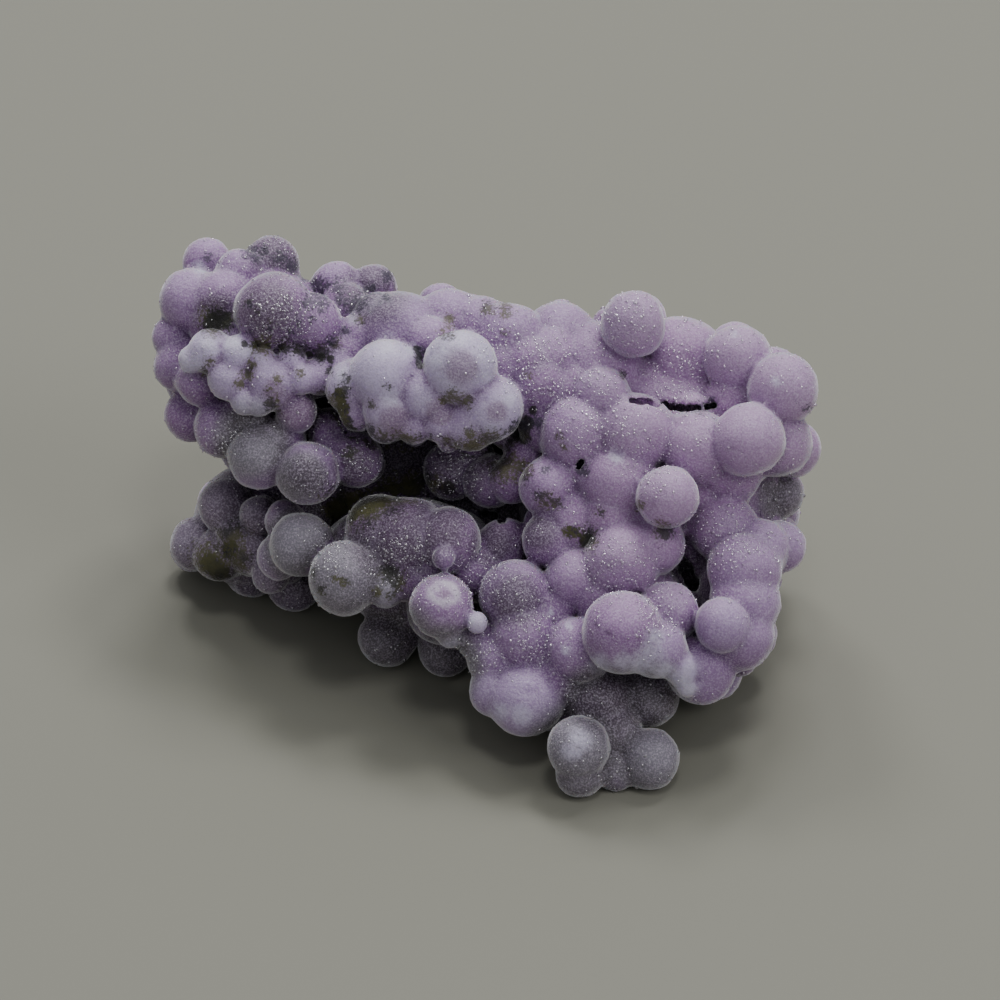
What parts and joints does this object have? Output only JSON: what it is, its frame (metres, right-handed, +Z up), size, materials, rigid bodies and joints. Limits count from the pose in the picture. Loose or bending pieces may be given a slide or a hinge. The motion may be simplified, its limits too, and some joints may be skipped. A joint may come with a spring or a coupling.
{
  "type": "grape agate",
  "caption": "Small free-standing cluster of round purple chalcedony grapes grown together, with an open hollow on its front, standing on its lowest grapes as a display mineral.",
  "frame": {"origin": "on the surface that the cluster stands on, under the middle of its bounding box", "axes": "+Z up, +X along the longest way across to the right as seen from the front, -Y towards the viewer at the front"},
  "size_m": [0.0405, 0.0332, 0.0226],
  "materials": {
    "chalcedony": "frosted, sugary quartz skin over translucent purple chalcedony"
  },
  "bodies": {
    "root": {"grape_agate": "chalcedony"}
  },
  "joints": []
}
